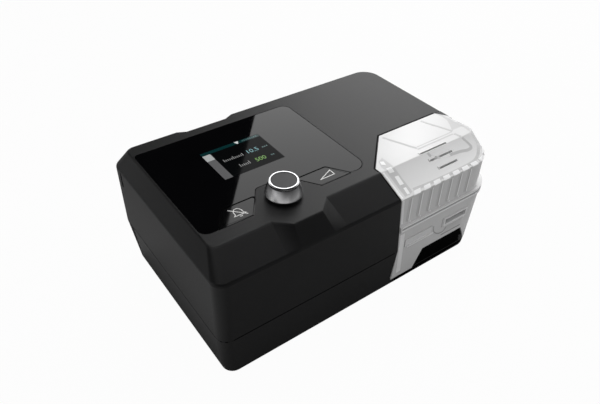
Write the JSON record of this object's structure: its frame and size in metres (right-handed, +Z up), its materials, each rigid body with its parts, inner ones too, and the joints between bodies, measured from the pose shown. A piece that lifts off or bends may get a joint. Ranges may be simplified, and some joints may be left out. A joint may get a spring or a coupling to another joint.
{
  "type": "cpap machine",
  "caption": "Bedside CPAP machine: dark case with a glass display panel, two keys and a turn-and-push knob, and a clear slide-in humidifier with a hinged lid at its front right corner.",
  "frame": {"origin": "middle of the bounding box in plan, on the surface that the feet stand on", "axes": "+X along the front from the left end to the humidifier end, +Y from the front to the back, +Z up"},
  "size_m": [0.3052, 0.2026, 0.133],
  "materials": {
    "case_plastic": "dark charcoal, fine moulded grain",
    "louvre_plastic": "black, matte",
    "corner_plastic": "dark charcoal",
    "display_glass": "black glass",
    "screen": "display",
    "key_plastic": "gloss black",
    "knob_metal": "satin, turned",
    "ring_metal": "bright",
    "cap_plastic": "soft dark",
    "clear_plastic": "milky clear",
    "release_plastic": "milky clear",
    "rubber": "matte",
    "lid_silicone": "translucent silicone",
    "steel": "zinc plated",
    "motor_metal": "as cast",
    "heater_metal": "brushed",
    "magnet": "sintered",
    "winding": "enamelled copper",
    "inner_plastic": "moulded",
    "board": "solder mask",
    "capacitor": "sleeved",
    "card_plastic": "moulded",
    "foam": "open cell foam",
    "filter_media": "pleated filter paper"
  },
  "bodies": {
    "housing": {"top_cover": "case_plastic", "base_tray": "case_plastic", "display_glass": "display_glass", "display_module": "screen", "rubber_feet": "rubber", "blower_mounts": "rubber", "dock_seals": "rubber", "case_screws": "steel", "board_screws": "steel", "encoder_nut": "steel", "motor_bearings": "steel", "heater_springs": "steel", "motor_can": "motor_metal", "heat_sink": "motor_metal", "motor_stator": "winding", "display_bracket": "inner_plastic", "encoder_body": "inner_plastic", "key_switches": "inner_plastic", "board_connectors": "inner_plastic", "speaker": "inner_plastic", "power_socket": "inner_plastic", "service_port": "inner_plastic", "card_reader": "inner_plastic", "blower_lower": "inner_plastic", "blower_upper": "inner_plastic", "inlet_silencer": "inner_plastic", "inlet_duct": "inner_plastic", "blower_duct": "inner_plastic", "return_duct": "inner_plastic", "flow_sensor": "inner_plastic", "outlet_port": "inner_plastic", "ui_board": "board", "main_board": "board", "io_board": "board", "capacitors": "capacitor", "silencer_foam": "foam"},
    "rotor": {"impeller": "inner_plastic", "motor_shaft": "steel", "motor_magnet": "magnet"},
    "knob_plunger": {"encoder_plunger": "inner_plastic"},
    "knob": {"knob_body": "knob_metal", "knob_ring": "ring_metal", "knob_cap": "cap_plastic", "encoder_shaft": "steel"},
    "mute_key": {"mute_button": "key_plastic"},
    "start_key": {"start_button": "key_plastic"},
    "tub": {"water_tub": "clear_plastic", "tub_pan": "heater_metal", "lid_hinge_pin": "steel", "release_spring": "steel"},
    "lid": {"tub_lid": "clear_plastic", "lid_corner": "corner_plastic", "lid_duct": "clear_plastic", "lid_seal": "lid_silicone"},
    "release": {"release_key": "release_plastic"},
    "heater": {"heater_plate": "heater_metal"},
    "filter_drawer": {"filter_cover": "louvre_plastic", "filter_pad": "filter_media", "filter_foam": "foam"},
    "card": {"memory_card": "card_plastic"}
  },
  "joints": [
    {"name": "impeller_spin", "type": "hinge", "parent": "housing", "child": "rotor", "pos_m": [0.0754, 0.0283, 0.0255], "axis": [0, 0, 1], "continuous": true},
    {"name": "knob_press", "type": "slide", "parent": "housing", "child": "knob_plunger", "axis": [0, 0, -1], "range_m": [0, 0.0006], "stiffness_N_per_m": 3000},
    {"name": "knob_turn", "type": "hinge", "parent": "knob_plunger", "child": "knob", "pos_m": [-0.0641, -0.0522, 0.118], "axis": [0, 0, -1], "continuous": true},
    {"name": "mute_press", "type": "slide", "parent": "housing", "child": "mute_key", "axis": [0, 0, -1], "range_m": [0, 0.0008], "stiffness_N_per_m": 900},
    {"name": "start_press", "type": "slide", "parent": "housing", "child": "start_key", "axis": [0, 0, -1], "range_m": [0, 0.0008], "stiffness_N_per_m": 900},
    {"name": "tub_slide", "type": "slide", "parent": "housing", "child": "tub", "axis": [0, -1, 0], "range_m": [0, 0.095]},
    {"name": "lid_hinge", "type": "hinge", "parent": "tub", "child": "lid", "pos_m": [0.1494, -0.0567, 0.0701], "axis": [0, 1, 0], "range_deg": [0, 105]},
    {"name": "release_press", "type": "slide", "parent": "tub", "child": "release", "axis": [0, 1, 0], "range_m": [0, 0.0015], "stiffness_N_per_m": 900, "deforming": ["release_spring"]},
    {"name": "heater_press", "type": "slide", "parent": "housing", "child": "heater", "axis": [0, 0, -1], "range_m": [0, 0.0015], "stiffness_N_per_m": 1500, "deforming": ["heater_springs"]},
    {"name": "filter_slide", "type": "slide", "parent": "housing", "child": "filter_drawer", "axis": [0, 1, 0], "range_m": [0, 0.03]},
    {"name": "card_slide", "type": "slide", "parent": "housing", "child": "card", "axis": [-1, 0, 0], "range_m": [0, 0.01]}
  ]
}
